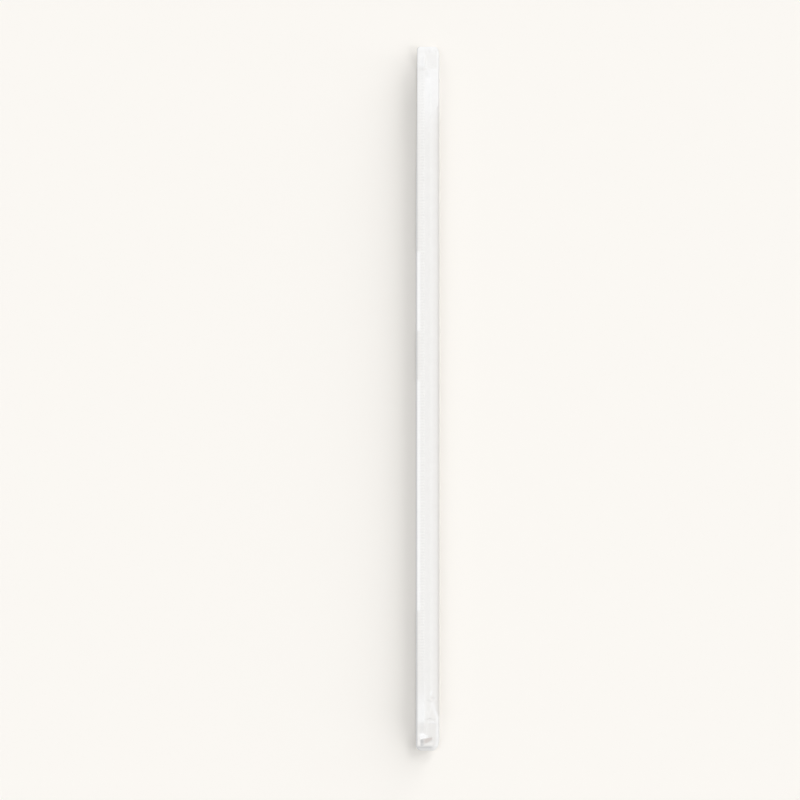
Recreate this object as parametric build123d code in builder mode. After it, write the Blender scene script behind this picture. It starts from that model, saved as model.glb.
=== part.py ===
from build123d import *
import math
import os

# Paper-wrapped drinking straw: one sealed pack, filled solid, lying as it rests on a table.
# X runs across the pack with the crimped seam at -X, Y along it, Z up.
# The plain end is at +Y and the end with the pinch fold at -Y. Sizes in millimetres.

# Straw inside
straw_length = 197.0
straw_diameter = 3.35

# Sleeve: one strip of paper folded round the straw
paper_thickness = 0.05
pack_width = 6.75

# Crimped seam along the open side of the strip
seam_width = 2.05
seam_thickness = 0.12
crimp_pitch = 0.884
crimp_depth = 0.1
seam_tuck = 0.3

# Flat lip that closes each end
lip_thickness = 0.14
lip_tuck = 1.0

# Plain end: the sleeve steps down at the straw's rim and falls over a knee and a brow to its lip
plain_end_length = 7.0
plain_rim_length = 0.9
plain_rim_drop = 0.45
plain_knee_from_tip = 3.95
plain_knee_height = 2.15
plain_brow_length = 1.2
plain_brow_height = 1.2
plain_lip_length = 1.4

# Folded end
folded_end_length = 9.8
folded_rim_length = 0.9
folded_rim_drop = 0.35
folded_knee_from_tip = 4.4
folded_knee_height = 2.15
folded_brow_length = 0.4
folded_brow_height = 0.68
folded_lip_length = 1.3

# Rounding of the bends in each end's fall
fall_rounding = 1.0

# Pinch fold near the folded tip: a slanted crest, steep on the tip's side, that ends in a tent on the seam
crest_from_tip = 4.1
crest_slant = 19.0
crest_height = 2.05
crest_end_x = 1.2
steep_run = 1.75
foot_height = 0.66
tent_x = -2.4
tent_height = 1.5
tent_rise_run = 1.45
tent_flank = 0.45
tent_end_x = 0.3
tent_end_rise_run = 0.8

# Plan corners, each a quarter of an ellipse: how far it reaches across and along the pack
plain_seam_corner = 0.9
plain_seam_corner_run = 0.9
plain_fold_corner = 1.35
plain_fold_corner_run = 3.0
folded_seam_corner = 1.7
folded_seam_corner_run = 1.6
folded_fold_corner = 2.05
folded_fold_corner_run = 3.8

# Worked out from the sizes above
half_width = pack_width / 2
sleeve_height = straw_diameter + 2 * paper_thickness
fold_radius = sleeve_height / 2
pack_length = straw_length + plain_end_length + folded_end_length
plain_tip_y = pack_length / 2
folded_tip_y = -pack_length / 2
plain_lip_y = plain_tip_y - plain_lip_length
folded_lip_y = folded_tip_y + folded_lip_length
seam_root_x = seam_width - half_width
seam_top = seam_thickness + crimp_depth
crest_y = folded_tip_y + crest_from_tip
clear_height = 2 * sleeve_height

# Side profile of each end from over the straw's rim to the lip's root: distance from the tip, height
plain_profile = (
    (plain_end_length + plain_rim_length, sleeve_height + plain_rim_drop),
    (plain_end_length - plain_rim_length, sleeve_height - plain_rim_drop),
    (plain_knee_from_tip, plain_knee_height),
    (plain_lip_length + plain_brow_length, plain_brow_height),
    (plain_lip_length, lip_thickness),
)
folded_profile = (
    (folded_end_length + folded_rim_length, sleeve_height + folded_rim_drop),
    (folded_end_length - folded_rim_length, sleeve_height - folded_rim_drop),
    (folded_knee_from_tip, folded_knee_height),
    (folded_lip_length + folded_brow_length, folded_brow_height),
    (folded_lip_length, lip_thickness),
)


def end_fall(tip_y, outward, profile):
    """Side view of what is taken off one end: all above its profile."""
    path = [(tip_y - outward * from_tip, height) for from_tip, height in profile]
    with BuildSketch() as fall:
        with BuildLine():
            FilletPolyline(*path, radius=fall_rounding)
            Polyline(
                path[-1],
                (tip_y, lip_thickness),
                (tip_y, clear_height),
                (path[0][0], clear_height),
                path[0],
            )
        make_face()
    return fall.sketch


def tent_section(x, height, rise_run):
    """Tent section along the pack: it rises from the seam to a height at the crest, and on past the crest."""
    section_crest_y = crest_y + x * math.tan(math.radians(crest_slant))
    foot_y = section_crest_y - steep_run
    with BuildSketch() as tent:
        with BuildLine():
            Polyline(
                (section_crest_y + rise_run, 0),
                (foot_y, height * (1 + steep_run / rise_run)),
                (foot_y, 0),
                close=True,
            )
        make_face()
    return tent.sketch


with BuildPart() as wrapped_straw:
    # Sleeve: flat underside, round fold against the straw, top ply falling straight to the seam
    fold_x = half_width - fold_radius
    run = fold_x - seam_root_x
    rise = fold_radius - seam_top
    slope = math.atan2(rise, run) + math.asin(fold_radius / math.hypot(run, rise))
    with BuildSketch(Plane.XZ.offset(-plain_lip_y)):
        with BuildLine():
            fold = CenterArc((fold_x, fold_radius), fold_radius, -90, 180 + math.degrees(slope))
            Polyline(
                fold @ 1,
                (seam_root_x, seam_top),
                (seam_root_x, 0),
                fold @ 0,
            )
        make_face()
    extrude(amount=plain_lip_y - folded_lip_y)

    # Both ends fall past the straw's rims
    with BuildSketch(Plane.YZ.offset(-pack_width)):
        add(end_fall(plain_tip_y, 1, plain_profile))
        add(end_fall(folded_tip_y, -1, folded_profile))
    extrude(amount=2 * pack_width, mode=Mode.SUBTRACT)

    # Pinch fold, tent on the seam: it grows from the seam's top to meet the crest
    flank_height = seam_top / (1 + steep_run / tent_rise_run)
    tent_sections = (
        (tent_x - tent_flank, flank_height, tent_rise_run),
        (tent_x, tent_height, tent_rise_run),
        (tent_end_x, crest_height, tent_end_rise_run),
    )
    for x, height, rise_run in tent_sections:
        with BuildSketch(Plane.YZ.offset(x)):
            add(tent_section(x, height, rise_run))
    loft(ruled=True)

    # Pinch fold, steep side: taken off square to the slanted crest, as far as the crest's end
    crest_reach = crest_end_x / math.cos(math.radians(crest_slant))
    crest_plane = Plane((0, crest_y, 0), x_dir=(1, 0, 0), z_dir=(0, -1, 0)).rotated((0, 0, crest_slant))
    steep_plane = Plane(crest_plane.origin, x_dir=crest_plane.z_dir, z_dir=-crest_plane.x_dir)
    with BuildSketch(steep_plane.offset(-crest_reach)):
        with BuildLine():
            Polyline(
                (0, clear_height),
                (0, crest_height),
                (steep_run, foot_height),
                (folded_end_length, foot_height),
                (folded_end_length, clear_height),
                close=True,
            )
        make_face()
    extrude(amount=crest_reach + pack_width, mode=Mode.SUBTRACT)

    # Crimped seam: two plies pressed into an even zigzag, tucked a little way into the sleeve
    teeth = math.ceil(pack_length / crimp_pitch)
    low = []
    for step in range(2 * teeth + 1):
        low.append((folded_tip_y + step * crimp_pitch / 2, crimp_depth * (step % 2)))
    high = [(y, z + seam_thickness) for y, z in reversed(low)]
    with BuildSketch(Plane.YZ.offset(-half_width)):
        with BuildLine():
            Polyline(low + high, close=True)
        make_face()
    extrude(amount=seam_width + seam_tuck)

    # End lips
    for tip_y, root_y in ((plain_tip_y, plain_lip_y - lip_tuck), (folded_tip_y, folded_lip_y + lip_tuck)):
        with BuildSketch():
            with Locations((0, (tip_y + root_y) / 2)):
                Rectangle(pack_width, abs(tip_y - root_y))
        extrude(amount=lip_thickness)

    # Plan outline: small corners on the seam side, long soft ones on the fold side
    corners = (
        (1, 1, plain_fold_corner, plain_fold_corner_run),
        (-1, 1, plain_seam_corner, plain_seam_corner_run),
        (-1, -1, folded_seam_corner, folded_seam_corner_run),
        (1, -1, folded_fold_corner, folded_fold_corner_run),
    )
    with BuildSketch():
        with BuildLine():
            arcs = []
            for turn, (side, end, across, along) in enumerate(corners):
                centre = (side * (half_width - across), end * (pack_length / 2 - along))
                arcs.append(EllipticalCenterArc(centre, across, along, start_angle=90 * turn, arc_size=90))
            for arc, following in zip(arcs, arcs[1:] + arcs[:1]):
                Line(arc @ 1, following @ 0)
        make_face()
    extrude(amount=clear_height, mode=Mode.INTERSECT)

wrapped_straw.part.label = "wrapped_straw"
os.makedirs("parts", exist_ok=True)
export_step(wrapped_straw.part, "parts/wrapped_straw.step")
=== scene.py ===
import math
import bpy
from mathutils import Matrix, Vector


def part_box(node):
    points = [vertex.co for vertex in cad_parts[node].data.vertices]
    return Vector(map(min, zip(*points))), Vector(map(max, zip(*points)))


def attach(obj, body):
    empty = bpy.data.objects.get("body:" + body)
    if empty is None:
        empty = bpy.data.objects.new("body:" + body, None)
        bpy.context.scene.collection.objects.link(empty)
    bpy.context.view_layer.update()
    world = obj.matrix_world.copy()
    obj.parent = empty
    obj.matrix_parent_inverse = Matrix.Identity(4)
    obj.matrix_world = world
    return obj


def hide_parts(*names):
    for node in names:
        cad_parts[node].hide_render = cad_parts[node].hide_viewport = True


bl_info = {
    "name": "Paper-wrapped drinking straw",
    "version": (1, 0, 0),
    "blender": (4, 5, 0),
    "location": "3D View > Sidebar > Wrapped straw",
    "description": "Builds a drinking straw sealed in a white paper wrapper, and the stage it lies on",
    "category": "Object",
}

from typing import NamedTuple

import bpy
import numpy as np
from bpy.props import FloatProperty, FloatVectorProperty, PointerProperty
from mathutils import Vector

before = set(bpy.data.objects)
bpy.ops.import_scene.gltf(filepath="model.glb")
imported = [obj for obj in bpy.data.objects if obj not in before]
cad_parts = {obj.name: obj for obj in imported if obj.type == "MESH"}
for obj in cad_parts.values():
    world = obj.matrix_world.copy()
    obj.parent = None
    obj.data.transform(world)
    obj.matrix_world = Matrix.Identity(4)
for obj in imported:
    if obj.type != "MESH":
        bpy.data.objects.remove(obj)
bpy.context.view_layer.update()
PACK_LOW, PACK_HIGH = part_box("wrapped_straw")
PACK_SIZE = PACK_HIGH - PACK_LOW

# The pack lies with its crimped seam at -X, its plain end at +Y and its folded end at -Y.
MM = 0.001

# Mesh columns across the pack, and rows for each tooth of the crimp
SEAM_COLUMNS = 14
SLEEVE_COLUMNS = 50
UNDER_SEAM_COLUMNS = 4
UNDER_SLEEVE_COLUMNS = 14
BODY_ROWS = 4
END_ROWS = 8

# Lengths at the tips with the closer rows, extra rows at each tip, and decimals that tell rows apart
PLAIN_FINE_LENGTH = 13 * MM
FOLDED_FINE_LENGTH = 21 * MM
TIP_ROWS = (0, 0.005 * MM, 0.02 * MM, 0.05 * MM)
ROW_DECIMALS = 9

# Points averaged to round a bend, and the angle from which an edge is drawn sharp
EASING_SAMPLES = 9
SHARP_ANGLE = math.radians(50)

# Roundings of the bends between the wrapper's faces
FALL_ROUNDING = 0.15 * MM
LIP_ROUNDING = 0.5 * MM
FOOT_ROUNDING = 0.15 * MM
CREST_ROUNDING = 0.12 * MM
TENT_CREST_ROUNDING = 0.1 * MM
TENT_FOOT_ROUNDING = 0.06 * MM
SEAM_ROOT_ROUNDING = 0.12 * MM
LEAST_ROUNDING = 0.01 * MM

# The shoulder's largest rounding for its rise, and the slope of a form past its end
FULLEST_SHOULDER = 1.5
RUN_OUT = 2

# Run from a lip's root to the table, and where past the seam's root an end starts to lean
LIP_RUN = 3.5 * MM
LEAN_START = 0.6 * MM

# The seam's lower ply: where its ledge turns dark with painted shade and where it starts, as shares of the
# step
LEDGE_DARK = 0.03
LEDGE_START = 0.06

# Paper in the pinch fold: how far down the steep side its painted shade and its painted glow reach, as
# shares of the run
STEEP_SHADE_END = 1.2
GLOW_END_AT_ROOT = 0.85
GLOW_END_AT_CREST_END = 0.45

# Painted shadow line across the folded lip: its place as a share of the lip, and its width
LIP_LINE_PLACE = 0.76
LIP_LINE_WIDTH = 0.5 * MM

# Whiteness of the plain end's fall, bare paper with painted highlight, and the share of the cut edge's
# painted shade that a highlit rim takes away
BARE_FALL = 0.4
CUT_EDGE_LOSS = 0.5

# Painted shade for each metre of a valley's depth, and the choice of ripples
VALLEY_SHADE = 0.65 / MM
RIPPLE_SEED = 4.0

# Half the floor's side in metres, and its height, a hair under the pack
HALF_FLOOR = 3.0
FLOOR_HEIGHT = -0.02 * MM


def smooth_step(low, high, at):
    """Nought below low, one above high, easing in and out between them."""
    part = np.clip((at - low) / (high - low), 0, 1)
    return part * part * (3 - 2 * part)


class Ramp(NamedTuple):
    """A smooth passage from a first value at one place to a last value at another."""

    first: float
    last: float
    low: float
    high: float

    def at(self, place):
        """Value at a place."""
        return self.first + (self.last - self.first) * smooth_step(self.low, self.high, place)


class LightSide(NamedTuple):
    """Where a light stands, seen from the pack, and how broad it looks in degrees."""

    direction: tuple
    spread: float


class Stretch(NamedTuple):
    """A stretch with soft ends: where it starts, is full, is no longer full and ends."""

    start: float
    full: float
    fading: float
    end: float

    def weight(self, place):
        """One inside the stretch, nought outside it, easing between."""
        return smooth_step(self.start, self.full, place) * (1 - smooth_step(self.fading, self.end, place))


class Crease(NamedTuple):
    """A small ridge, or a valley where its height is negative, along a line of the plan."""

    start: tuple
    end: tuple
    width: float
    height: float


# Creases where the paper is pulled over the straw's rim at the plain end, in millimetres
PLAIN_RIM_CREASES = (
    Crease((-0.95, 100.6), (-0.05, 99.4), 0.24, 0.17),
    Crease((-1.5, 99.9), (-0.9, 99.7), 0.33, -0.08),
    Crease((0.1, 101.7), (1.2, 101.8), 0.13, 0.07),
    Crease((0.1, 101.2), (1.3, 101.2), 0.13, -0.08),
    Crease((0.2, 100.7), (1.1, 100.7), 0.13, 0.05),
    Crease((0.45, 105.5), (0.65, 105.6), 0.26, -0.14),
    Crease((1.5, 106.0), (2.0, 105.3), 0.4, 0.1),
    Crease((0.5, 95.0), (0.4, 90.0), 0.8, -0.08),
)

# Creases round the straw's other rim and up the sleeve from it, in millimetres
FOLDED_RIM_CREASES = (
    Crease((-0.9, -97.5), (0.5, -97.0), 0.3, -0.22),
    Crease((0.5, -97.0), (1.9, -97.4), 0.3, -0.22),
    Crease((0.3, -97.9), (1.7, -97.9), 0.4, 0.15),
    Crease((1.7, -97.9), (2.7, -98.3), 0.4, 0.12),
    Crease((0.0, -91.6), (0.5, -91.9), 0.4, -0.25),
    Crease((1.3, -90.7), (1.7, -90.9), 0.4, -0.25),
    Crease((0.7, -89.4), (1.0, -88.6), 0.3, 0.06),
    Crease((1.3, -92.4), (2.7, -96.0), 0.6, 0.1),
)

CREASES = PLAIN_RIM_CREASES + FOLDED_RIM_CREASES
RIDGES = [crease for crease in CREASES if crease.height > 0]
VALLEYS = [crease for crease in CREASES if crease.height < 0]

# Stretches along the pack, in millimetres, where the seam's outer edge droops and where the seam tilts up
DROOPS = (Stretch(19.0, 21.6, 43.7, 46.3), Stretch(-66.2, -63.6, 4.6, 7.2))
TILTS = (Stretch(-100.2, -97.6, -96.8, -92.6), Stretch(100.1, 101.6, 103.8, 105.3))

# Stretches where the seam's outer edge, or all of it, carries a painted highlight, and where it carries
# painted shade
HIGHLIT_RIMS = (Stretch(19.9, 21.3, 44.0, 45.4), Stretch(-65.3, -63.9, 4.9, 6.3))
HIGHLIT_SEAM = (Stretch(99.6, 101.6, 105.6, 107.6), Stretch(-99.8, -97.4, -95.0, -86.0))
SHADED_SEAM = (Stretch(-102.4, -101.3, -100.0, -97.4),)

# Stretches where the fold's edge carries a painted highlight
HIGHLIT_FOLD = (Stretch(-106.4, -104.9, -96.5, -95.0), Stretch(89.5, 91.0, 106.5, 108.0))

# How one shape of the paper passes into another, by distances, or across the seam by shares of it
END_SLOPE_PAST_RIM = Ramp(1, 0, 0, 3 * MM)
PLY_STEP_FROM_PLAIN_TIP = Ramp(0.2, 1, 10 * MM, 60 * MM)
DROOP_ACROSS = Ramp(1, 0, 0, 0.5)
SEAM_LIFT_PAST_ROOT = Ramp(1, 0, -0.4 * MM, 0)
CREASES_FROM_FOLD = Ramp(0, 1, 0, 0.5 * MM)
LOOSE_PAST_START = Ramp(1, 0, -0.4 * MM, 0.4 * MM)

# How deep the crimp is pressed
CRIMP_ACROSS = Ramp(0.3, 1.2, 0.2, 0.95)
CRIMP_PAST_ROOT = Ramp(1, 0, 0.05 * MM, 0.35 * MM)
CRIMP_FROM_PLAIN_TIP = Ramp(0.2, 1, 6 * MM, 20 * MM)
CRIMP_FROM_FOLDED_TIP = Ramp(0.12, 1, 19 * MM, 32 * MM)

# How much the sleeve ripples
SLACK_PAST_ROOT = Ramp(0, 1, 0, 0.8 * MM)
SLACK_FROM_FOLD = Ramp(0, 1, 0, 0.6 * MM)
SLACK_FROM_TIP = Ramp(0, 1, 1 * MM, 4 * MM)
SLACK_FROM_FOLDED_TIP = Ramp(4, 1, 10 * MM, 30 * MM)

# Where bare paper and painted highlights make the paper whiter, by distances, or by shares of the lip's
# length and the seam's width
BARE_PAST_RIM = Ramp(0, 1, -0.3 * MM, 0.3 * MM)
BARE_PAST_ROOT = Ramp(0.4, 1, -0.3 * MM, 1.2 * MM)
BARE_FROM_PLAIN_TIP = Ramp(1, 0, 11 * MM, 30 * MM)
BARE_LIP = Ramp(1, 0, 0.4, 1.5)
RIM_HIGHLIGHT_ACROSS = Ramp(1, 0, 0.15, 0.65)
SEAM_HIGHLIGHT_PAST_ROOT = Ramp(1, 0, -0.3 * MM, 1 * MM)
FOLD_HIGHLIGHT_FROM_FOLD = Ramp(1, 0, 0.4 * MM, 1.5 * MM)

# The pinch fold's faces that carry painted highlight, painted shade and painted glow, along them by shares
# of their run, across them by distances
TENT_FACE = Stretch(-0.1, 0.1, 0.8, 1.4)
TENT_FACE_PAST_END = Ramp(1, 0, 0, 0.4 * MM)
STEEP_PAST_CREST = Ramp(0, 1, 0, 0.15)
STEEP_PAST_FOOT = Ramp(1, 0, 0, 0.35)
STEEP_PAST_TENT_START = Ramp(0, 1, -0.2 * MM, 0.2 * MM)
STEEP_PAST_CREST_END = Ramp(1, 0, -0.4 * MM, 0.4 * MM)
FLOOR_LIGHT_PAST_ROOT = Ramp(0, 1, -0.55 * MM, 0.55 * MM)

# Where painted shade makes the paper greyer, by distances, or across the seam by shares of it
LIP_SHADE_PAST_ROOT = Ramp(1, 0, 0, 0.2 * MM)
LIP_SHADE_ACROSS = Ramp(1, 0.3, 0.6 * MM, 2.2 * MM)
LIP_LINE_ACROSS = Ramp(1, 0, 0.6 * MM, 2.2 * MM)
SEAM_SHADE_PAST_ROOT = Ramp(1, 0, 0, 1 * MM)
SEAM_SHADE_ACROSS = Ramp(0, 1, 0.05, 0.5)
CUT_EDGE_ACROSS = Ramp(1, 0, 0.02, 0.18)

# Lights on the wrapper
KEY_SIDE = LightSide((-0.6, 0.27, 0.75), 25)
FILL_SIDE = LightSide((0.76, -0.1, 0.64), 40)
OVERHEAD_SIDE = LightSide((0, 0, 1), 140)

# Lights on the floor: the low one is a fan, its parts turned from +X by so many degrees
FLOOR_FILL_SIDE = LightSide((-0.67, -0.08, 0.74), 50)
FLOOR_KEY_TURNS = (-8, 30, 61)
FLOOR_KEY_RISE = 0.24
FLOOR_KEY_SPREAD = 22


def length(name, description, size):
    """A length, given in millimetres and kept in metres."""
    return FloatProperty(name=name, description=description, default=size * MM, unit="LENGTH", precision=5)


def share(name, description, default):
    """A number from nought to one."""
    return FloatProperty(
        name=name, description=description, default=default, min=0, max=1, subtype="FACTOR", precision=3
    )


def ratio(name, description, default):
    """A plain number."""
    return FloatProperty(name=name, description=description, default=default, min=0, precision=3)


def level(name, description, default):
    """A light level, where one shows a colour as it is written."""
    return FloatProperty(name=name, description=description, default=default, min=0, max=2, precision=3)


def angle(name, description, degrees):
    """An angle, kept in radians."""
    return FloatProperty(
        name=name, description=description, default=math.radians(degrees), unit="ROTATION", subtype="ANGLE"
    )


def colour(name, description, default):
    """A linear colour."""
    return FloatVectorProperty(
        name=name, description=description, default=default, min=0, max=1, size=3, subtype="COLOR"
    )


class SleeveSizes(bpy.types.PropertyGroup):
    """Sizes of the sleeve round the straw and of its crimped seam"""

    width: length("Width", "Pack across, seam included", PACK_SIZE.x / MM)
    length: length("Length", "Pack from tip to tip", PACK_SIZE.y / MM)
    height: length("Height", "Pack from table to crown", PACK_SIZE.z / MM)
    seam_width: length("Seam width", "Flat seam along the open side", 2.05)
    seam_thickness: length("Seam thickness", "Both plies of the seam", 0.12)
    rise: length("Rise", "How far the flat seam stands off the table", 0.17)
    root_turn: length("Root turn", "Width over which the lower ply rises to the seam", 0.6)
    ply_slope: angle("Ply slope", "Slope of the top ply", 58)
    crimp_pitch: length("Crimp pitch", "From one crimp tooth to the next", 0.884)
    crimp_depth: length("Crimp depth", "From groove to crest of the crimp", 0.1)
    droop: length("Droop", "How far the seam's edge droops", 0.15)
    tilt: length("Tilt", "How far the seam's inner side lifts", 0.35)
    ply_step: length("Ply step", "How far the seam's lower ply shows", 0.4)
    lip_thickness: length("Lip thickness", "Both plies of a lip", 0.14)
    loose_rounding: length("Loose rounding", "Edge where the sleeve stands off the straw", 0.8)
    loose_fold: length("Loose fold", "Depth of the fold there", 0.6)
    fold_fullness: ratio("Fold fullness", "Two is a round fold, more is fuller", 2.8)
    ripple: length("Ripple", "Height of the slack ripples in the sleeve", 0.055)
    ripple_size: length("Ripple size", "Typical size of a ripple", 3.0)


class PlainEndSizes(bpy.types.PropertyGroup):
    """Sizes of the end where the sleeve falls straight to its lip"""

    length: length("End length", "From the straw's rim to the tip", 7.0)
    rim_length: length("Rim length", "Length of the step past the straw's rim", 0.9)
    rim_drop: length("Rim drop", "Height of that step", 0.45)
    ply_slope: angle("Ply slope", "Slope of the top ply", 75)
    lip_length: length("Lip length", "Flat lip that closes the end", 1.4)
    lip_root: length("Lip root", "Height of the lip's root", 0.75)
    lip_edge: length("Lip edge", "Height of the lip's edge", 0.95)
    knee: length("Knee", "The fall's middle bend, from the tip", 3.95)
    knee_height: length("Knee height", "Height of that bend", 2.15)
    brow_length: length("Brow length", "First rise above the lip", 1.2)
    brow_height: length("Brow height", "Height of that rise", 1.35)
    lean: length("Lean", "How far the fall leans to the fold", 0.2)
    seam_corner: length("Seam corner", "Rounding of the seam's corner across", 0.9)
    seam_corner_run: length("Seam corner run", "Rounding of that corner along", 0.9)
    fold_corner: length("Fold corner", "Rounding of the fold's corner across", 1.35)
    fold_corner_run: length("Fold corner run", "Rounding of that corner along", 3.0)
    loose_from_tip: length("Loose from tip", "Where the sleeve leaves the straw", 18.0)
    loose_lean: ratio("Loose lean", "How slanted that place is", 1.4)


class FoldedEndSizes(bpy.types.PropertyGroup):
    """Sizes of the end with the pinch fold"""

    length: length("End length", "From the straw's rim to the tip", 9.8)
    rim_length: length("Rim length", "Length of the step past the straw's rim", 0.9)
    rim_drop: length("Rim drop", "Height of that step", 0.2)
    ply_slope: angle("Ply slope", "Slope of the top ply", 72)
    lip_length: length("Lip length", "Flat lip that closes the end", 1.3)
    lip_root: length("Lip root", "Height of the lip's root", 0.95)
    lip_edge: length("Lip edge", "Height of the lip's edge", 0.95)
    knee: length("Knee", "The fall's middle bend, from the tip", 4.4)
    knee_height: length("Knee height", "Height of that bend", 2.15)
    brow_length: length("Brow length", "First rise above the lip", 0.3)
    brow_height: length("Brow height", "Height of that rise", 1.15)
    lean: length("Lean", "How far the fall leans to the fold", 0.0)
    seam_corner: length("Seam corner", "Rounding of the seam's corner across", 1.7)
    seam_corner_run: length("Seam corner run", "Rounding of that corner along", 1.6)
    fold_corner: length("Fold corner", "Rounding of the fold's corner across", 2.05)
    fold_corner_run: length("Fold corner run", "Rounding of that corner along", 3.8)
    loose_from_tip: length("Loose from tip", "Where the sleeve leaves the straw", 10.3)
    loose_lean: ratio("Loose lean", "How slanted that place is", 2.2)


class PinchFoldSizes(bpy.types.PropertyGroup):
    """Sizes of the pinch fold across the folded end"""

    crest_from_tip: length("Crest from tip", "Distance of the crest from the tip", 4.13)
    crest_slant: angle("Crest slant", "How far the crest turns from square", 13)
    crest_height: length("Crest height", "Height of the crest on the sleeve", 2.05)
    crest_end_x: length("Crest end", "Where the crest runs out towards the fold", 1.2)
    steep_run: length("Steep run", "Length of the steep side", 1.75)
    foot_height: length("Foot height", "Height at the foot of the steep side", 1.07)
    tent_x: length("Tent start", "Where the tent starts on the seam", -2.4)
    tent_height: length("Tent height", "Height of the tent where it starts", 1.5)
    tent_flank: length("Tent flank", "How far the tent falls towards the seam's edge", 0.45)
    tent_end_x: length("Tent end", "Where the tent joins the crest", -0.3)
    tent_rise: length("Tent rise", "Length of the tent's rising side where it starts", 1.45)
    tent_rise_end: length("Tent rise at crest", "Length of that side where it joins the crest", 0.7)


class PaperLook(bpy.types.PropertyGroup):
    """Colours and surface of the wrapper paper"""

    paper: colour("Paper", "Paper along the pack", (0.889, 0.883, 0.871))
    # Whiter paper, used for paper off the straw and for the painted highlights
    bare_and_lit: colour("Bare paper", "Paper standing off the straw and the table", (0.963, 0.968, 0.973))
    # Grey for the painted shade in folds, on the lip and at the seam's edge and ledge
    folded: colour("Folded paper", "Paper inside a fold", (0.62, 0.624, 0.628))
    lit_fold: colour("Lit fold", "Paper in a fold that catches light from the floor", (0.747, 0.709, 0.689))
    mottle: share("Mottle", "How far the paper's cloudiness changes its colour", 0.06)
    fibre_width: length("Fibre width", "Typical width of a fibre", 0.12)
    fibre_length: length("Fibre length", "Typical length of a fibre", 0.7)
    cloud_size: length("Cloud size", "Typical size of a cloud", 2.2)
    fibre_relief: length("Fibre relief", "Height of the fibres", 0.006)


class PaperTones(bpy.types.PropertyGroup):
    """How far painted highlights, rubbed ribs and painted shade turn the wrapper's paper whiter or greyer in
    places
    """

    # Painted highlight on the seam near both ends
    seam_highlight: share("White seam", "Whiteness of the seam near both ends", 0.7)
    # Painted highlight on the creases' ridges
    ridge_highlight: share("Worn ridge", "Whiteness of a crease's ridge", 0.75)
    # Partly rubbed paper, partly a painted highlight that sharpens the ribs' shading
    rib_rub_and_highlight: share("Rub on ribs", "How far the crimp's ribs are rubbed whiter", 0.05)
    steep_shade: share("Steep shade", "Shade of the pinch fold's steep side over the seam", 0.9)
    lip_shade: share("Lip shade", "Shade of the folded lip", 0.61)
    # Painted shade where the seam dips away from the light
    seam_shade: share("Grey seam", "Shade of the seam's greyer stretch", 0.13)
    # Painted shade along the seam's cut edge
    cut_edge_shade: share("Cut edge", "Shade of the seam's cut edge", 0.62)


class StageLook(bpy.types.PropertyGroup):
    """Floor, lights and camera"""

    floor: colour("Floor", "Pale floor", (0.95, 0.924, 0.882))
    surround: level("Surround", "Even light from all sides", 0.5)
    overhead: level("Overhead", "Broad light on the pack from above", 0.06)
    key: level("Key", "Soft light on the pack from the upper left", 0.318)
    fill: level("Fill", "Weak light on the pack from the right", 0.108)
    fill_colour: colour("Fill colour", "Colour of that light", (1.0, 0.93, 0.86))
    floor_key: level("Floor key", "Low broad light on the floor from the right", 0.355)
    floor_fill: level("Floor fill", "Weak light on the floor from above left", 0.157)
    camera_x: length("Camera X", "Camera's place across the pack", -8.6)
    camera_y: length("Camera Y", "Camera's place along the pack", -0.38)
    camera_height: length("Camera height", "Height of the camera over the floor", 600)
    view_width: length("View width", "Width of floor that the picture shows", 243.4)


class WrappedStrawSettings(bpy.types.PropertyGroup):
    """Everything that shapes and colours the wrapped straw"""

    sleeve: PointerProperty(type=SleeveSizes)
    plain_end: PointerProperty(type=PlainEndSizes)
    folded_end: PointerProperty(type=FoldedEndSizes)
    pinch_fold: PointerProperty(type=PinchFoldSizes)
    paper: PointerProperty(type=PaperLook)
    tones: PointerProperty(type=PaperTones)
    stage: PointerProperty(type=StageLook)


def soft_min(first, second, rounding):
    """The lower of two heights, with the bend between them rounded."""
    part = np.clip(0.5 + 0.5 * (second - first) / rounding, 0, 1)
    return second + (first - second) * part - rounding * part * (1 - part)


def soft_max(first, second, rounding):
    """The higher of two heights, with the bend between them rounded."""
    return -soft_min(-first, -second, rounding)


def strongest(*fields):
    """The largest of several values at each point."""
    return np.max(np.broadcast_arrays(*fields), axis=0)


def eased(at, stations, values, rounding):
    """Straight runs through the stations, with each bend rounded."""
    shifts = np.linspace(-rounding, rounding, EASING_SAMPLES)
    return np.mean([np.interp(at + shift, stations, values) for shift in shifts], axis=0)


def along_pack(stretches, y):
    """One inside the pack's stretches, nought outside, easing between."""
    return sum(stretch.weight(y / MM) for stretch in stretches)


def crease_shape(crease, x, y):
    """One on a crease's line, falling to nought beside it and past its ends."""
    start = np.array(crease.start) * MM
    run = np.array(crease.end) * MM - start
    along = ((x - start[0]) * run[0] + (y - start[1]) * run[1]) / np.dot(run, run)
    along = np.clip(along, 0, 1)
    away = np.hypot(x - start[0] - along * run[0], y - start[1] - along * run[1])
    return np.exp(-((away / (crease.width * MM)) ** 2))


def crease_height(crease, x, y):
    """Height that one crease adds."""
    return crease.height * MM * crease_shape(crease, x, y)


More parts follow.
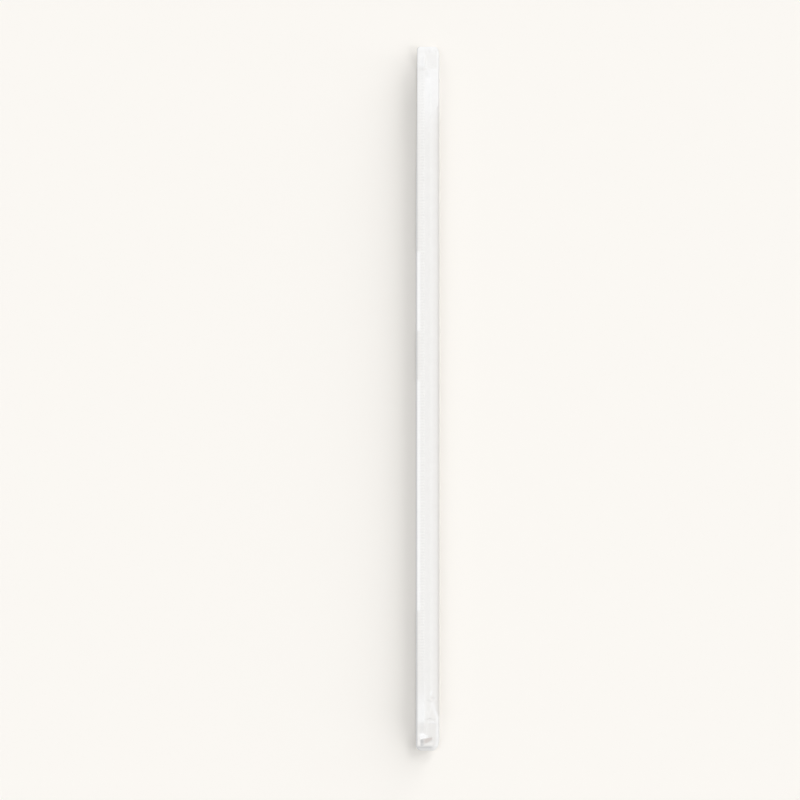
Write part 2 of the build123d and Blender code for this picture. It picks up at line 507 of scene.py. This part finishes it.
class WrapperForm:
    """The wrapper's heights, and its painted highlights, painted shade and painted glow, at points of its
    plan.
    """

    def __init__(self, settings):
        self.sleeve = settings.sleeve
        self.plain = settings.plain_end
        self.folded = settings.folded_end
        self.pinch = settings.pinch_fold
        self.tones = settings.tones
        self.half_width = self.sleeve.width / 2
        self.half_length = self.sleeve.length / 2
        self.root_x = self.sleeve.seam_width - self.half_width

    def from_plain_tip(self, y):
        """Distance from the plain tip."""
        return self.half_length - y

    def from_folded_tip(self, y):
        """Distance from the folded tip."""
        return self.half_length + y

    def ends(self, y):
        """Distance from the tip and sizes of the plain end, then of the folded end."""
        return (self.from_plain_tip(y), self.plain), (self.from_folded_tip(y), self.folded)

    def past_root(self, x):
        """Distance from the seam's root, towards the fold."""
        return x - self.root_x

    def from_fold(self, x, y):
        """Distance from the fold's outermost line, towards the seam."""
        return self.right_edge(y) - x

    def corner_cut(self, from_tip, across, along):
        """How far a rounded corner of the plan draws the edge in."""
        inward = np.clip(1 - from_tip / along, 0, 1)
        return across * (1 - np.sqrt(1 - inward**2))

    def left_edge(self, y):
        """X of the seam's outer edge."""
        x = -self.half_width
        for from_tip, end in self.ends(y):
            x = x + self.corner_cut(from_tip, end.seam_corner, end.seam_corner_run)
        return x

    def right_edge(self, y):
        """X of the fold's outermost line."""
        x = self.half_width
        for from_tip, end in self.ends(y):
            x = x - self.corner_cut(from_tip, end.fold_corner, end.fold_corner_run)
        return x

    def end_crown(self, x, from_tip, end):
        """Crown height near one end: thin lip, brow, soft fall, step at the straw's rim."""
        brow = end.lip_length + end.brow_length
        shoulder = end.length - end.rim_length
        stations = (0, end.lip_length, brow, end.knee, shoulder, end.length)
        lip = self.sleeve.lip_thickness
        full = self.sleeve.height
        below = (end.lip_edge + lip, end.lip_root + lip, end.brow_height, end.knee_height)
        heights = (*below, full - end.rim_drop, full)
        on_fall = Stretch(end.lip_length, end.knee, end.knee, end.length).weight(from_tip)
        towards_fold = smooth_step(self.root_x + LEAN_START, self.half_width, x)
        return eased(from_tip, stations, heights, FALL_ROUNDING) - end.lean * on_fall * towards_fold

    def crest_y(self, x):
        """Y of the pinch fold's crest line."""
        return self.pinch.crest_from_tip - self.half_length + x * math.tan(self.pinch.crest_slant)

    def past_crest(self, x, y):
        """Distance past the crest line, towards the tip."""
        return (self.crest_y(x) - y) * math.cos(self.pinch.crest_slant)

    def tent_share(self, x):
        """Nought where the tent starts on the seam, one where it joins the crest."""
        return np.clip((x - self.pinch.tent_x) / (self.pinch.tent_end_x - self.pinch.tent_x), 0, 1)

    def tent_rise(self, x):
        """Length of the tent's rising side."""
        return self.pinch.tent_rise + self.tent_share(x) * (self.pinch.tent_rise_end - self.pinch.tent_rise)

    def crest_height(self, x):
        """Height of the crest, which grows over the tent."""
        pinch = self.pinch
        return pinch.tent_height + self.tent_share(x) * (pinch.crest_height - pinch.tent_height)

    def steep_side(self, x, y):
        """Steep side of the pinch fold, falling from its crest towards the tip."""
        pinch = self.pinch
        drop = (pinch.crest_height - pinch.foot_height) / pinch.steep_run
        return self.crest_height(x) - drop * self.past_crest(x, y)

    def crown(self, x, y):
        """Height that the sleeve may reach."""
        plain, folded = [self.end_crown(x, from_tip, end) for from_tip, end in self.ends(y)]
        steep = soft_max(self.steep_side(x, y), self.pinch.foot_height, FOOT_ROUNDING)
        steep = steep + RUN_OUT * np.maximum(x - self.pinch.crest_end_x, 0)
        return soft_min(np.minimum(plain, folded), steep, CREST_ROUNDING)

    def looseness(self, x, y):
        """One where the sleeve stands off the straw near the ends, nought elsewhere."""
        near = []
        for from_tip, end in self.ends(y):
            start = end.loose_from_tip + end.loose_lean * (self.half_width - x)
            near.append(LOOSE_PAST_START.at(from_tip - start))
        return strongest(*near)

    def flat_height(self, y, further_in):
        """Height of flat paper: a lip's near each tip, the given one further in."""
        near = []
        for from_tip, end in self.ends(y):
            stations = (0, end.lip_length, end.lip_length + LIP_RUN)
            heights = (end.lip_edge, end.lip_root, further_in)
            near.append(eased(from_tip, stations, heights, LIP_ROUNDING))
        plain, folded = near
        return np.where(y > 0, plain, folded)

    def base(self, x, y):
        """Height of the lower ply, which leaves the table along the seam and at the lips."""
        seam = self.flat_height(y, self.sleeve.rise)
        sleeve = self.flat_height(y, 0)
        return seam + smooth_step(0, self.sleeve.root_turn, self.past_root(x)) * (sleeve - seam)

    def ply_slope(self, y):
        """How steeply the top ply falls to the seam."""
        slope = self.sleeve.ply_slope
        for from_tip, end in self.ends(y):
            near = END_SLOPE_PAST_RIM.at(from_tip - end.length)
            slope = slope + near * (end.ply_slope - self.sleeve.ply_slope)
        return slope

    def fold_drop(self, x, y, crown, fold_depth):
        """How far the fold has turned down from the crown, or up from the lower ply."""
        past = np.clip(1 - self.from_fold(x, y) / fold_depth, 0, 1)
        fullness = self.sleeve.fold_fullness
        half = (crown - self.flat_height(y, 0)) / 2
        return half * (1 - (1 - past**fullness) ** (1 / fullness))

    def seam_top(self, y):
        """Height of the flat seam's upper face."""
        return self.flat_height(y, self.sleeve.rise) + self.sleeve.seam_thickness

    def sleeve_top(self, x, y, crown, rounding, fold_depth):
        """Sloping ply, rounded shoulder, crown and upper half of the fold."""
        slope = self.ply_slope(y)
        rise = np.maximum(crown - self.seam_top(y), 0)
        rounding = np.minimum(rounding, FULLEST_SHOULDER * rise)
        centre = self.root_x + (rounding + np.cos(slope) * (rise - rounding)) / np.sin(slope)
        ply = self.seam_top(y) + np.tan(slope) * self.past_root(x)
        turn = np.clip((centre - x) / np.maximum(rounding, LEAST_ROUNDING), 0, 1)
        shoulder = crown - rounding * (1 - np.sqrt(1 - turn**2))
        on_ply = x < centre - rounding * np.sin(slope)
        return np.where(on_ply, ply, shoulder) - self.fold_drop(x, y, crown, fold_depth)

    def ply_step(self, y):
        """How far the seam's lower ply shows past the upper one: least at the plain end."""
        return self.sleeve.ply_step * PLY_STEP_FROM_PLAIN_TIP.at(self.from_plain_tip(y))

    def seam_share(self, x, y):
        """Nought at the seam's outer edge, one at its root."""
        left = self.left_edge(y)
        return np.clip((x - left) / (self.root_x - left), 0, 1)

    def seam_lift(self, x, y):
        """How far the seam leaves its flat height: drooping edge, tilted stretches."""
        across = self.seam_share(x, y)
        droop = self.sleeve.droop * along_pack(DROOPS, y)
        tilt = self.sleeve.tilt * along_pack(TILTS, y)
        return tilt * across - droop * DROOP_ACROSS.at(across)

    def tent(self, x, y):
        """Pinch fold on the seam: two sides and a crest, growing towards the sleeve."""
        pinch = self.pinch
        rising = self.crest_height(x) * (1 + self.past_crest(x, y) / self.tent_rise(x))
        shape = soft_min(rising, self.steep_side(x, y), TENT_CREST_ROUNDING)
        flank = pinch.tent_height * np.maximum(pinch.tent_x - x, 0) / pinch.tent_flank
        return shape - flank - RUN_OUT * np.maximum(x - pinch.tent_end_x, 0)

    def creases(self, x, y):
        """Small creases, dying out at the fold."""
        total = sum(crease_height(crease, x, y) for crease in CREASES)
        return total * CREASES_FROM_FOLD.at(self.from_fold(x, y))

    def top(self, x, y):
        """Height of the upper face."""
        crown = self.crown(x, y)
        body_fold = self.sleeve.height / 2
        close = self.sleeve_top(x, y, crown, body_fold, body_fold)
        loose = self.sleeve_top(x, y, crown, self.sleeve.loose_rounding, self.sleeve.loose_fold)
        sleeve = close + self.looseness(x, y) * (loose - close)
        seam = self.seam_top(y) + self.seam_lift(x, y) - RUN_OUT * np.maximum(self.past_root(x), 0)
        joined = soft_max(seam, sleeve, SEAM_ROOT_ROUNDING)
        return soft_max(joined, self.tent(x, y), TENT_FOOT_ROUNDING) + self.creases(x, y)

    def under(self, x, y):
        """Height of the under face."""
        crown = self.crown(x, y)
        close = self.fold_drop(x, y, crown, self.sleeve.height / 2)
        loose = self.fold_drop(x, y, crown, self.sleeve.loose_fold)
        fold = close + self.looseness(x, y) * (loose - close)
        lift = self.seam_lift(x, y) * SEAM_LIFT_PAST_ROOT.at(self.past_root(x))
        return self.base(x, y) + fold + lift

    def crimp_mask(self, x, y):
        """How deep the crimp is pressed: most near the root, less towards both ends."""
        across = CRIMP_ACROSS.at(self.seam_share(x, y)) * CRIMP_PAST_ROOT.at(self.past_root(x))
        plain = CRIMP_FROM_PLAIN_TIP.at(self.from_plain_tip(y))
        folded = CRIMP_FROM_FOLDED_TIP.at(self.from_folded_tip(y))
        return across * np.minimum(plain, folded)

    def tent_face(self, x, y):
        """One on the tent's rising side, nought elsewhere: where the pinch fold's painted highlight lies."""
        pinch = self.pinch
        along = TENT_FACE.weight(-self.past_crest(x, y) / self.tent_rise(x))
        inside = smooth_step(pinch.tent_x - pinch.tent_flank, pinch.tent_x, x)
        return along * inside * TENT_FACE_PAST_END.at(x - pinch.tent_end_x)

    def bareness_and_highlights(self, x, y):
        """Where the paper looks whiter: paper standing off the straw at the plain end and its lip, and
        painted highlights on the drooping rims, the seam near the ends, the fold's edge, crease ridges and
        the tent's lit face.
        """
        past_root = self.past_root(x)
        from_tip = self.from_plain_tip(y)
        plain_end = np.maximum(BARE_PAST_RIM.at(from_tip - self.plain.length), BARE_FALL)
        plain_end = plain_end * BARE_FROM_PLAIN_TIP.at(from_tip) * BARE_PAST_ROOT.at(past_root)
        rim = along_pack(HIGHLIT_RIMS, y) * RIM_HIGHLIGHT_ACROSS.at(self.seam_share(x, y))
        seam = self.tones.seam_highlight * along_pack(HIGHLIT_SEAM, y) * SEAM_HIGHLIGHT_PAST_ROOT.at(past_root)
        lip = BARE_LIP.at(from_tip / self.plain.lip_length)
        fold = along_pack(HIGHLIT_FOLD, y) * FOLD_HIGHLIGHT_FROM_FOLD.at(self.from_fold(x, y))
        ridges = self.tones.ridge_highlight * strongest(*[crease_shape(ridge, x, y) for ridge in RIDGES])
        return strongest(plain_end, rim, seam, lip, fold, ridges, self.tent_face(x, y))

    def steep_face(self, x, y, end):
        """One on the pinch fold's steep side, as far as a share of its run."""
        pinch = self.pinch
        past = self.past_crest(x, y) / pinch.steep_run
        along = STEEP_PAST_CREST.at(past) * STEEP_PAST_FOOT.at(past - end)
        across = STEEP_PAST_TENT_START.at(x - pinch.tent_x) * STEEP_PAST_CREST_END.at(x - pinch.crest_end_x)
        return along * across

    def towards_floor_light(self, x):
        """Nought on the pinch fold's part over the seam, one on its part over the sleeve."""
        return FLOOR_LIGHT_PAST_ROOT.at(self.past_root(x))

    def shade(self, x, y):
        """Painted shade: the pinch fold's steep side, the folded lip and a dark line across it, a greyer
        stretch of the seam, the valleys, the seam's cut edge and the lower ply's ledge.
        """
        tones = self.tones
        from_tip = self.from_folded_tip(y)
        lip_length = self.folded.lip_length
        across = self.seam_share(x, y)
        steep = self.steep_face(x, y, STEEP_SHADE_END) * (1 - self.towards_floor_light(x))
        lip = LIP_SHADE_PAST_ROOT.at(from_tip - lip_length) * LIP_SHADE_ACROSS.at(x)
        # Painted shadow line at the folded lip's root
        from_line = from_tip - LIP_LINE_PLACE * lip_length
        lip_shadow_line = np.exp(-((from_line / LIP_LINE_WIDTH) ** 2)) * LIP_LINE_ACROSS.at(x)
        # Painted shade on the seam's stretch that dips away from the light
        seam_shade_part = SEAM_SHADE_ACROSS.at(across) * SEAM_SHADE_PAST_ROOT.at(self.past_root(x))
        seam_shade_part = seam_shade_part * along_pack(SHADED_SEAM, y)
        depth = -sum(crease_height(valley, x, y) for valley in VALLEYS)
        # Painted shade along the seam's outer edge, lighter on the highlit rims
        cut_edge_shade = CUT_EDGE_ACROSS.at(across) * (1 - CUT_EDGE_LOSS * along_pack(HIGHLIT_RIMS, y))
        # Painted shade on the lower ply's ledge
        ledge_shade = smooth_step(0, LEDGE_DARK * self.ply_step(y), self.left_edge(y) - x)
        return strongest(
            tones.steep_shade * steep,
            tones.lip_shade * lip,
            lip_shadow_line,
            tones.seam_shade * seam_shade_part,
            VALLEY_SHADE * depth,
            tones.cut_edge_shade * cut_edge_shade,
            ledge_shade,
        )

    def glow(self, x, y):
        """Where the pinch fold catches light from the floor."""
        reach = Ramp(GLOW_END_AT_ROOT, GLOW_END_AT_CREST_END, self.root_x, self.pinch.crest_end_x)
        return self.steep_face(x, y, reach.at(x)) * self.towards_floor_light(x)

    def slack(self, x, y):
        """How much the paper may ripple."""
        from_folded_tip = self.from_folded_tip(y)
        from_tip = np.minimum(self.from_plain_tip(y), from_folded_tip)
        across = SLACK_PAST_ROOT.at(self.past_root(x)) * SLACK_FROM_FOLD.at(self.from_fold(x, y))
        return across * SLACK_FROM_TIP.at(from_tip) * SLACK_FROM_FOLDED_TIP.at(from_folded_tip)

    def rows(self):
        """Y of each row of the mesh: in step with the crimp, closer near the ends."""
        pitch = self.sleeve.crimp_pitch
        body = np.arange(-self.half_length, self.half_length, pitch / BODY_ROWS)
        fine = np.arange(-self.half_length, self.half_length, pitch / END_ROWS)
        at_plain_end = self.from_plain_tip(fine) < PLAIN_FINE_LENGTH
        at_folded_end = self.from_folded_tip(fine) < FOLDED_FINE_LENGTH
        near_ends = fine[at_plain_end | at_folded_end]
        plain_tip = self.half_length - np.array(TIP_ROWS)
        every = np.unique(np.round(np.concatenate([body, near_ends, plain_tip, -plain_tip]), ROW_DECIMALS))
        return every[:, np.newaxis]

    def columns(self, y, seam_count, sleeve_count):
        """X of each column: even over the seam, closing up towards the fold."""
        left = self.left_edge(y)
        right = self.right_edge(y)
        seam = left + (self.root_x - left) * np.linspace(0, 1, seam_count, endpoint=False)
        sleeve = self.root_x + (right - self.root_x) * np.sin(np.linspace(0, math.pi / 2, sleeve_count))
        return np.hstack([seam, sleeve])


def ring_quads(row_count, ring_count):
    """Corners of the faces between each ring of points and the next."""
    ring = np.arange(ring_count)
    following = np.roll(ring, -1)
    starts = np.arange(row_count - 1)[:, np.newaxis] * ring_count
    ends = starts + ring_count
    corners = [starts + ring, starts + following, ends + following, ends + ring]
    return np.stack(corners, axis=-1).reshape(-1, 4)


def wrapper_mesh(form):
    """Closed mesh: rings across the pack, joined along it and capped at both tips."""
    y = form.rows()
    top_x = form.columns(y, SEAM_COLUMNS, SLEEVE_COLUMNS)
    under_x = form.columns(y, UNDER_SEAM_COLUMNS, UNDER_SLEEVE_COLUMNS)[:, -2::-1]
    top_z = form.top(top_x, y)

    # The lower ply shows past the seam's edge as a narrow ledge, which closes each ring
    step = form.ply_step(y)
    ledge_outer = top_x[:, :1] - step
    ledge_inner = top_x[:, :1] - LEDGE_START * step
    under_x[:, -1:] = ledge_outer
    under_z = form.under(under_x, y)
    ledge_z = under_z[:, -1:] + form.sleeve.seam_thickness / 2
    x = np.hstack([top_x, under_x, ledge_outer, ledge_inner])
    z = np.hstack([top_z, under_z, ledge_z, ledge_z])

    row_count, ring_count = x.shape
    points = np.stack([x, np.broadcast_to(y, x.shape), z], axis=-1).reshape(-1, 3)
    quads = ring_quads(row_count, ring_count).tolist()
    ring = np.arange(ring_count)
    first_cap = ring[::-1].tolist()
    last_cap = ((row_count - 1) * ring_count + ring).tolist()
    mesh = bpy.data.meshes.new("paper_wrapper")
    mesh.from_pydata(points.tolist(), [], quads + [first_cap, last_cap])

    top_count = top_x.shape[1]
    under_slack = np.zeros((row_count, ring_count - top_count))
    store(mesh, "crimp_mask", form.crimp_mask(x, y))
    # Shares for the material: bare paper with painted highlights, painted shade, painted glow
    store(mesh, "bare_and_lit", form.bareness_and_highlights(x, y))
    store(mesh, "shade", form.shade(x, y))
    store(mesh, "glow", form.glow(x, y))
    store(mesh, "slack", np.hstack([form.slack(top_x, y), under_slack]))
    return mesh


def store(mesh, name, values):
    """Keeps one number for each point of the mesh."""
    attribute = mesh.attributes.new(name, "FLOAT", "POINT")
    attribute.data.foreach_set("value", np.ascontiguousarray(values, dtype=np.float32).ravel())


def node(tree, kind, label, inputs=None, **settings):
    """A new node with its label, its settings and its unlinked inputs."""
    made = tree.nodes.new(kind)
    made.label = label
    for name, value in settings.items():
        setattr(made, name, value)
    for key, value in (inputs or {}).items():
        if isinstance(value, bpy.types.NodeSocket):
            tree.links.new(value, made.inputs[key])
        else:
            made.inputs[key].default_value = value
    return made


def math_node(tree, label, operation, first, second=0.0):
    """Result of a Math node on one or two numbers or sockets."""
    return node(tree, "ShaderNodeMath", label, {0: first, 1: second}, operation=operation).outputs[0]


def named_number(tree, name):
    """A number kept on the mesh, read by a Geometry Nodes tree."""
    kept = node(tree, "GeometryNodeInputNamedAttribute", name, {"Name": name}, data_type="FLOAT")
    return kept.outputs["Attribute"]


def mesh_number(tree, label, name):
    """A number kept on the mesh, read by a material."""
    return node(tree, "ShaderNodeAttribute", label, attribute_name=name).outputs["Fac"]


def noise_node(tree, label, place, inputs, **settings):
    """A noise at each place, from nought to one."""
    return node(tree, "ShaderNodeTexNoise", label, {"Vector": place, **inputs}, **settings).outputs[0]


def mesh_node(tree, kind, label, mesh, inputs=None):
    """Result of a Geometry Nodes step on a mesh."""
    return node(tree, kind, label, {"Geometry": mesh, **(inputs or {})}).outputs[0]


def mix_colour(tree, label, factor, first, second):
    """A colour between two, by a factor. The Mix node's sockets for colours are 6 and 7."""
    mix = node(tree, "ShaderNodeMix", label, {0: factor, 6: first, 7: second}, data_type="RGBA")
    return mix.outputs[2]


def crimp_tree():
    """Geometry Nodes: presses the crimp's ribs into the seam and ripples the slack paper."""
    tree = bpy.data.node_groups.new("Crimp and ripple", "GeometryNodeTree")
    tree.is_modifier = True
    tree.interface.new_socket("Geometry", in_out="INPUT", socket_type="NodeSocketGeometry")
    for name in ("Crimp pitch", "Crimp depth", "Crimp start", "Ripple height", "Ripple size", "Ripple seed"):
        tree.interface.new_socket(name, in_out="INPUT", socket_type="NodeSocketFloat")
    tree.interface.new_socket("Paper", in_out="INPUT", socket_type="NodeSocketMaterial")
    tree.interface.new_socket("Geometry", in_out="OUTPUT", socket_type="NodeSocketGeometry")
    given = tree.nodes.new("NodeGroupInput").outputs

    position = node(tree, "GeometryNodeInputPosition", "Place").outputs["Position"]
    along = node(tree, "ShaderNodeSeparateXYZ", "Along the pack", {0: position}).outputs["Y"]
    from_start = math_node(tree, "From first rib", "SUBTRACT", along, given["Crimp start"])
    teeth = math_node(tree, "Ribs so far", "DIVIDE", from_start, given["Crimp pitch"])
    turn = math_node(tree, "Turn", "MULTIPLY", teeth, 2 * math.pi)
    wave = math_node(tree, "Rib wave", "COSINE", turn)
    half_wave = math_node(tree, "Half wave", "MULTIPLY", wave, -0.5)
    rib = math_node(tree, "Rib", "ADD", half_wave, 0.5)
    pressed = math_node(tree, "Pressed rib", "MULTIPLY", rib, named_number(tree, "crimp_mask"))
    rib_height = math_node(tree, "Rib height", "MULTIPLY", pressed, given["Crimp depth"])

    scale = math_node(tree, "Ripple scale", "DIVIDE", 1.0, given["Ripple size"])
    ripples = {"W": given["Ripple seed"], "Scale": scale, "Detail": 2.0, "Roughness": 0.45}
    noise = noise_node(tree, "Ripple", position, ripples, noise_dimensions="4D")
    centred = math_node(tree, "Ripple up and down", "SUBTRACT", noise, 0.5)
    loose = math_node(tree, "Slack ripple", "MULTIPLY", centred, named_number(tree, "slack"))
    ripple = math_node(tree, "Ripple height", "MULTIPLY", loose, given["Ripple height"])

    lift = math_node(tree, "Lift", "ADD", rib_height, ripple)
    offset = node(tree, "ShaderNodeCombineXYZ", "Upwards", {"Z": lift}).outputs[0]
    moved = mesh_node(tree, "GeometryNodeSetPosition", "Press", given["Geometry"], {"Offset": offset})
    ribs = {"Name": "rib", "Value": pressed}
    kept = mesh_node(tree, "GeometryNodeStoreNamedAttribute", "Keep ribs", moved, ribs)
    real = mesh_node(tree, "GeometryNodeRealizeInstances", "Plain mesh", kept)
    papered = mesh_node(tree, "GeometryNodeSetMaterial", "Paper", real, {"Material": given["Paper"]})
    out = tree.nodes.new("NodeGroupOutput")
    tree.links.new(papered, out.inputs["Geometry"])
    return tree


def set_inputs(modifier, tree, values):
    """Sets a Geometry Nodes modifier's inputs by their names."""
    for item in tree.interface.items_tree:
        if item.in_out == "INPUT" and item.name in values:
            modifier[item.identifier] = values[item.name]


def paper_material(look, tones):
    """White wrapper paper: cloudy, fibrous, a little greyer where it lies on the straw, with painted
    highlights, painted shade and a painted glow in places.
    """
    material = bpy.data.materials.new("Wrapper paper")
    material.use_nodes = True
    tree = material.node_tree
    shader = tree.nodes["Principled BSDF"]
    shader.inputs["Specular IOR Level"].default_value = 0.3
    shader.inputs["Sheen Weight"].default_value = 0.04
    place = node(tree, "ShaderNodeTexCoord", "Place on pack").outputs["Object"]

    clouds = {"Scale": 1 / look.cloud_size, "Detail": 3.0, "Roughness": 0.6}
    cloud = noise_node(tree, "Paper cloudiness", place, clouds)
    thin = 1 / look.fibre_width
    stretch = {"Vector": place, "Scale": (thin, 1 / look.fibre_length, thin)}
    stretched = node(tree, "ShaderNodeMapping", "Fibre direction", stretch).outputs[0]
    fibres = {"Scale": 1.0, "Detail": 2.0, "Roughness": 0.55, "Distortion": 0.6}
    fibre = noise_node(tree, "Fibres", stretched, fibres)

    # Painted highlights with bare paper turn it whiter, painted shade turns it greyer, painted glow warms
    # the lit folds
    bare_and_lit = mesh_number(tree, "Bare", "bare_and_lit")
    shade = mesh_number(tree, "Inside folds", "shade")
    glow = mesh_number(tree, "Light in folds", "glow")
    whiter = mix_colour(tree, "Whiter off the straw", bare_and_lit, (*look.paper, 1.0), (*look.bare_and_lit, 1.0))
    greyer = mix_colour(tree, "Greyer in folds", shade, whiter, (*look.folded, 1.0))
    tint = mix_colour(tree, "Warmer in lit folds", glow, greyer, (*look.lit_fold, 1.0))
    both = math_node(tree, "Cloud and fibre", "ADD", cloud, fibre)
    centred = math_node(tree, "About nought", "SUBTRACT", both, 1.0)
    mottle = math_node(tree, "Mottle", "MULTIPLY", centred, look.mottle)
    rib = mesh_number(tree, "Ribs", "rib")
    # Ribs turn whiter: partly rubbed paper, partly painted highlight
    rib_whitening = math_node(tree, "Rub on ribs", "MULTIPLY", rib, tones.rib_rub_and_highlight)
    change = math_node(tree, "All changes", "ADD", mottle, rib_whitening)
    gain = math_node(tree, "Gain", "ADD", change, 1.0)
    mottled = node(tree, "ShaderNodeVectorMath", "Mottled paper", {0: tint, 1: gain}, operation="MULTIPLY")
    tree.links.new(mottled.outputs[0], shader.inputs["Base Color"])

    limits = {"Value": fibre, "From Min": 0.3, "From Max": 0.7, "To Min": 0.7, "To Max": 0.88}
    rough = node(tree, "ShaderNodeMapRange", "Roughness", limits)
    tree.links.new(rough.outputs[0], shader.inputs["Roughness"])
    relief = {"Height": fibre, "Strength": 0.6, "Distance": look.fibre_relief}
    bump = node(tree, "ShaderNodeBump", "Fibre relief", relief)
    tree.links.new(bump.outputs[0], shader.inputs["Normal"])
    return material


def add_object(name, data):
    """A new object in the scene."""
    made = bpy.data.objects.new(name, data)
    bpy.context.scene.collection.objects.link(made)
    return made


class STRAW_OT_wrapper(bpy.types.Operator):
    """Builds the paper wrapper, with its crimped seam, its two ends and the straw's shape under it"""

    bl_idname = "straw.wrapper"
    bl_label = "Build wrapper"

    def execute(self, context):
        settings = context.scene.wrapped_straw
        sleeve = settings.sleeve
        wrapper = add_object("paper_wrapper", wrapper_mesh(WrapperForm(settings)))
        paper = paper_material(settings.paper, settings.tones)
        tree = crimp_tree()
        modifier = wrapper.modifiers.new("Crimp and ripple", "NODES")
        modifier.node_group = tree
        inputs = {
            "Crimp pitch": sleeve.crimp_pitch,
            "Crimp depth": sleeve.crimp_depth,
            "Crimp start": -sleeve.length / 2,
            "Ripple height": sleeve.ripple,
            "Ripple size": sleeve.ripple_size,
            "Ripple seed": RIPPLE_SEED,
            "Paper": paper,
        }
        set_inputs(modifier, tree, inputs)

        depsgraph = context.evaluated_depsgraph_get()
        finished = bpy.data.meshes.new_from_object(
            wrapper.evaluated_get(depsgraph), preserve_all_data_layers=True, depsgraph=depsgraph
        )
        wrapper.modifiers.remove(modifier)
        wrapper.data = finished
        finished.shade_smooth()
        finished.set_sharp_from_angle(angle=SHARP_ANGLE)

        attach(wrapper, "root")
        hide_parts("wrapped_straw")
        return {"FINISHED"}


def floor_material(look):
    """Plain matt floor."""
    material = bpy.data.materials.new("Pale floor")
    material.use_nodes = True
    tree = material.node_tree
    tree.nodes.remove(tree.nodes["Principled BSDF"])
    matt = node(tree, "ShaderNodeBsdfDiffuse", "Matt", {"Color": (*look.floor, 1.0)})
    tree.links.new(matt.outputs[0], tree.nodes["Material Output"].inputs["Surface"])
    return material


def surround(look):
    """Even light from all sides, seen by the camera as the floor's colour."""
    world = bpy.data.worlds.new("Surround")
    world.use_nodes = True
    tree = world.node_tree
    light = tree.nodes["Background"]
    light.inputs["Color"].default_value = (1.0, 1.0, 1.0, 1.0)
    light.inputs["Strength"].default_value = look.surround
    pale = node(tree, "ShaderNodeBackground", "Backdrop", {"Color": (*look.floor, 1.0)})
    seen = node(tree, "ShaderNodeLightPath", "Ray").outputs["Is Camera Ray"]
    choice = {0: seen, 1: light.outputs[0], 2: pale.outputs[0]}
    mixed = node(tree, "ShaderNodeMixShader", "Light or backdrop", choice)
    tree.links.new(mixed.outputs[0], tree.nodes["World Output"].inputs["Surface"])
    return world


def soft_sun(name, side, light_level, receiver):
    """A broad soft light from one side, on one object only."""
    light = bpy.data.lights.new(name, "SUN")
    light_from = Vector(side.direction).normalized()
    light.energy = math.pi * light_level / light_from.z
    light.angle = math.radians(side.spread)
    sun = add_object(name, light)
    sun.rotation_mode = "QUATERNION"
    sun.rotation_quaternion = light_from.to_track_quat("Z", "Y")
    receivers = bpy.data.collections.new(f"{name} receivers")
    receivers.objects.link(receiver)
    sun.light_linking.receiver_collection = receivers
    return sun


def lay_floor(look):
    """Broad flat floor just under the pack."""
    mesh = bpy.data.meshes.new("floor")
    sides = ((-1, -1), (1, -1), (1, 1), (-1, 1))
    corners = [(x * HALF_FLOOR, y * HALF_FLOOR, FLOOR_HEIGHT) for x, y in sides]
    mesh.from_pydata(corners, [], [(0, 1, 2, 3)])
    mesh.materials.append(floor_material(look))
    return add_object("floor", mesh)


def light_wrapper(look, wrapper):
    """Lights that fall on the wrapper only."""
    soft_sun("Key light", KEY_SIDE, look.key, wrapper)
    fill = soft_sun("Fill light", FILL_SIDE, look.fill, wrapper)
    fill.data.color = look.fill_colour
    soft_sun("Overhead light", OVERHEAD_SIDE, look.overhead, wrapper)


def light_floor(look, floor):
    """Lights that fall on the floor only, and draw the pack's shadow on it."""
    part_level = look.floor_key / len(FLOOR_KEY_TURNS)
    for turn in FLOOR_KEY_TURNS:
        side = LightSide((1, math.tan(math.radians(turn)), FLOOR_KEY_RISE), FLOOR_KEY_SPREAD)
        soft_sun(f"Floor light {turn}", side, part_level, floor)
    soft_sun("Floor fill", FLOOR_FILL_SIDE, look.floor_fill, floor)


def set_camera(scene, look):
    """Camera straight above, wide enough for the floor that the picture shows."""
    camera = bpy.data.cameras.new("Camera")
    camera.lens = camera.sensor_width * look.camera_height / look.view_width
    stand = add_object("Camera", camera)
    stand.location = (look.camera_x, look.camera_y, look.camera_height)
    scene.camera = stand


class STRAW_OT_stage(bpy.types.Operator):
    """Lays the pale floor and sets the lights and the camera"""

    bl_idname = "straw.stage"
    bl_label = "Set stage"

    def execute(self, context):
        scene = context.scene
        look = scene.wrapped_straw.stage
        floor = lay_floor(look)
        scene.world = surround(look)
        light_wrapper(look, scene.objects["paper_wrapper"])
        light_floor(look, floor)
        set_camera(scene, look)
        scene.view_settings.view_transform = "Standard"
        return {"FINISHED"}


class STRAW_PT_sidebar(bpy.types.Panel):
    """Steps and sizes of the wrapped straw"""

    bl_idname = "STRAW_PT_sidebar"
    bl_label = "Wrapped straw"
    bl_space_type = "VIEW_3D"
    bl_region_type = "UI"
    bl_category = "Wrapped straw"

    def draw(self, context):
        settings = context.scene.wrapped_straw
        for step in STEPS:
            self.layout.operator(step.bl_idname)
        for group_name in WrappedStrawSettings.__annotations__:
            group = getattr(settings, group_name)
            column = self.layout.column(align=True)
            for name in group.__annotations__:
                column.prop(group, name)


STEPS = (STRAW_OT_wrapper, STRAW_OT_stage)
CLASSES = (
    SleeveSizes,
    PlainEndSizes,
    FoldedEndSizes,
    PinchFoldSizes,
    PaperLook,
    PaperTones,
    StageLook,
    WrappedStrawSettings,
    *STEPS,
    STRAW_PT_sidebar,
)


def register():
    for cls in CLASSES:
        bpy.utils.register_class(cls)
    bpy.types.Scene.wrapped_straw = PointerProperty(type=WrappedStrawSettings)


def unregister():
    del bpy.types.Scene.wrapped_straw
    for cls in reversed(CLASSES):
        bpy.utils.unregister_class(cls)


def main():
    """Builds the wrapped straw and its stage."""
    register()
    bpy.ops.straw.wrapper()
    bpy.ops.straw.stage()


if __name__ == "__main__":
    main()
